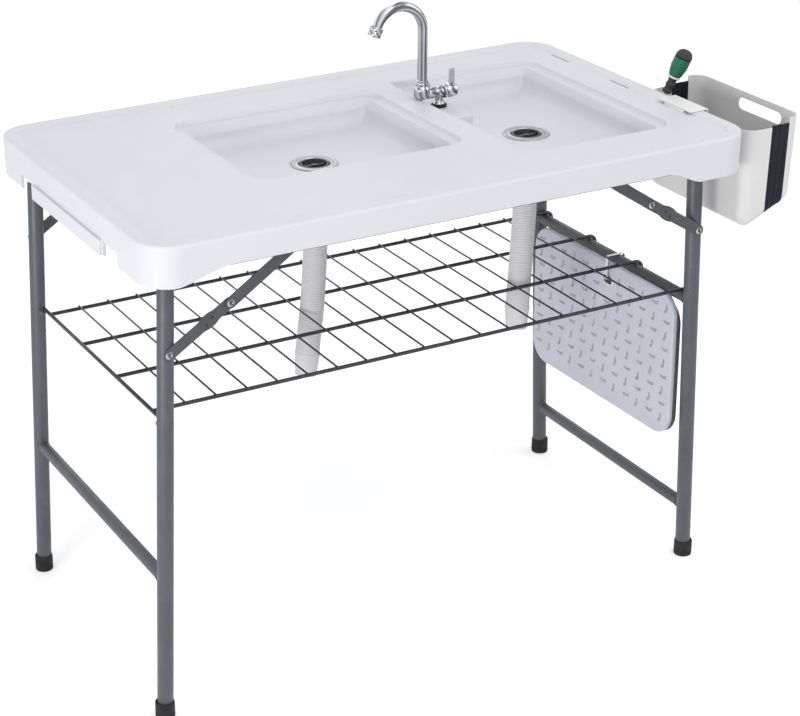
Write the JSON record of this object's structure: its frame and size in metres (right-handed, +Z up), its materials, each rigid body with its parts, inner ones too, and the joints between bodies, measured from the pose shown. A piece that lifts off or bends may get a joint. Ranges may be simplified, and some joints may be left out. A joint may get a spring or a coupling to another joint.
{
  "type": "fish cleaning table",
  "caption": "Folding fish cleaning table with moulded sink top, gooseneck faucet, drain hoses, splayed tube legs with folding stays, wire shelf, hanging boards and a clip-on bin.",
  "frame": {"origin": "on the floor, under the middle of the table top", "axes": "X along the table's length to the bin's end, Y from the front to the back, Z up"},
  "size_m": [1.28, 0.685, 1.0611],
  "materials": {
    "plastic": "white moulded polyethylene, satin",
    "clip": "white plastic",
    "paint": "grey powder coat on steel tube",
    "stay": "grey powder coat on flat steel",
    "wire": "dark grey coated wire",
    "chrome": "polished chrome",
    "strainer": "black plastic",
    "rubber": "black rubber",
    "nut": "light plastic",
    "hose": "white finely ribbed plastic hose",
    "board": "white cutting board plastic",
    "dark_board": "dark grey textured plastic",
    "strap": "bright steel strip",
    "bin_shell": "white plastic",
    "bin_band": "dark blue grey soft plastic",
    "grip": "green plastic",
    "grip_black": "black plastic",
    "blade": "ground steel"
  },
  "bodies": {
    "top": {"tabletop": "plastic", "side_clip_front": "clip", "side_clip_back": "clip", "front_rail": "paint", "back_rail": "paint", "left_drain_flange": "chrome", "left_drain_nut": "nut", "right_drain_flange": "chrome", "right_drain_nut": "nut", "left_drain_hose": "hose", "right_drain_hose": "hose", "faucet_gasket": "rubber", "faucet_body": "chrome", "faucet_lock_nut": "nut"},
    "left_frame": {"left_pivot_tube": "paint", "left_front_leg": "paint", "left_back_leg": "paint", "left_front_foot": "rubber", "left_back_foot": "rubber", "left_lower_crossbar": "paint"},
    "right_frame": {"right_pivot_tube": "paint", "right_front_leg": "paint", "right_back_leg": "paint", "right_front_foot": "rubber", "right_back_foot": "rubber", "right_lower_crossbar": "paint", "right_shelf_crossbar": "paint"},
    "left_upper_stays": {"left_front_upper_stay": "stay", "left_back_upper_stay": "stay"},
    "left_lower_stays": {"left_front_lower_stay": "stay", "left_back_lower_stay": "stay"},
    "right_upper_stays": {"right_front_upper_stay": "stay", "right_back_upper_stay": "stay"},
    "right_lower_stays": {"right_front_lower_stay": "stay", "right_back_lower_stay": "stay"},
    "shelf": {"wire_shelf": "wire"},
    "boards": {"cutting_board": "board", "rear_board": "dark_board", "board_strap": "strap"},
    "spout": {"faucet_spout": "chrome", "faucet_aerator": "chrome"},
    "valve": {"faucet_valve_hub": "chrome", "faucet_lever": "chrome"},
    "left_strainer": {"left_drain_strainer": "strainer"},
    "right_strainer": {"right_drain_strainer": "strainer"},
    "bin": {"bin_inner_half": "bin_shell", "bin_band": "bin_band", "bin_hook": "clip"},
    "bin_outer": {"bin_outer_half": "bin_shell"},
    "tool": {"tool_blade": "blade", "tool_neck": "grip_black", "tool_ring": "clip", "tool_grip": "grip", "tool_cap": "grip_black"}
  },
  "joints": [
    {"name": "left_frame_fold", "type": "hinge", "parent": "top", "child": "left_frame", "pos_m": [-0.523, 0, 0.826], "axis": [0, -1, 0], "range_deg": [0, 85.5], "deforming": ["left_drain_hose", "right_drain_hose"]},
    {"name": "right_frame_fold", "type": "hinge", "parent": "top", "child": "right_frame", "pos_m": [0.523, 0, 0.826], "axis": [0, 1, 0], "range_deg": [0, 79.2]},
    {"name": "left_upper_stays_turn", "type": "hinge", "parent": "top", "child": "left_upper_stays", "pos_m": [-0.297, 0, 0.826], "axis": [0, -1, 0], "range_deg": [0, 40.2]},
    {"name": "left_lower_stays_turn", "type": "hinge", "parent": "left_frame", "child": "left_lower_stays", "pos_m": [-0.52876, 0, 0.675], "axis": [0, -1, 0], "range_deg": [-192.4, 0]},
    {"name": "right_upper_stays_turn", "type": "hinge", "parent": "top", "child": "right_upper_stays", "pos_m": [0.297, 0, 0.826], "axis": [0, 1, 0], "range_deg": [0, 50.2]},
    {"name": "right_lower_stays_turn", "type": "hinge", "parent": "right_frame", "child": "right_lower_stays", "pos_m": [0.52876, 0, 0.675], "axis": [0, 1, 0], "range_deg": [-172.5, 0]},
    {"name": "shelf_stow", "type": "slide", "parent": "top", "child": "shelf", "axis": [0, 0, 1], "range_m": [0, 0.2305]},
    {"name": "boards_hang", "type": "hinge", "parent": "right_frame", "child": "boards", "pos_m": [0.53417, 0, 0.5332], "axis": [0, 1, 0], "range_deg": [-79.2, 0]},
    {"name": "spout_swivel", "type": "hinge", "parent": "top", "child": "spout", "pos_m": [0.178, 0.119, 0.9], "axis": [0, 0, 1], "continuous": true},
    {"name": "lever_turn", "type": "hinge", "parent": "top", "child": "valve", "pos_m": [0.23, 0.119, 0.88], "axis": [1, 0, 0], "range_deg": [0, 90]},
    {"name": "left_strainer_lift", "type": "slide", "parent": "top", "child": "left_strainer", "axis": [0, 0, 1], "range_m": [0, 0.06]},
    {"name": "right_strainer_lift", "type": "slide", "parent": "top", "child": "right_strainer", "axis": [0, 0, 1], "range_m": [0, 0.06]},
    {"name": "bin_lift", "type": "slide", "parent": "top", "child": "bin", "axis": [0, 0, 1], "range_m": [0, 0.1]},
    {"name": "bin_collapse", "type": "slide", "parent": "bin", "child": "bin_outer", "axis": [-1, 0, 0], "range_m": [0, 0.035], "deforming": ["bin_band"]},
    {"name": "tool_lift", "type": "slide", "parent": "bin", "child": "tool", "axis": [0.3055, -0.2222, 0.9259], "range_m": [0, 0.12]}
  ],
  "couplings": [
    {"joint": "right_frame_fold", "follows": "left_frame_fold", "ratio": 0.925},
    {"joint": "left_upper_stays_turn", "follows": "left_frame_fold", "ratio": 0.468},
    {"joint": "left_lower_stays_turn", "follows": "left_frame_fold", "ratio": -2.248},
    {"joint": "right_upper_stays_turn", "follows": "left_frame_fold", "ratio": 0.585},
    {"joint": "right_lower_stays_turn", "follows": "left_frame_fold", "ratio": -2.015},
    {"joint": "shelf_stow", "follows": "left_frame_fold", "m_per_rad": 0.1541},
    {"joint": "boards_hang", "follows": "left_frame_fold", "ratio": -0.925}
  ]
}
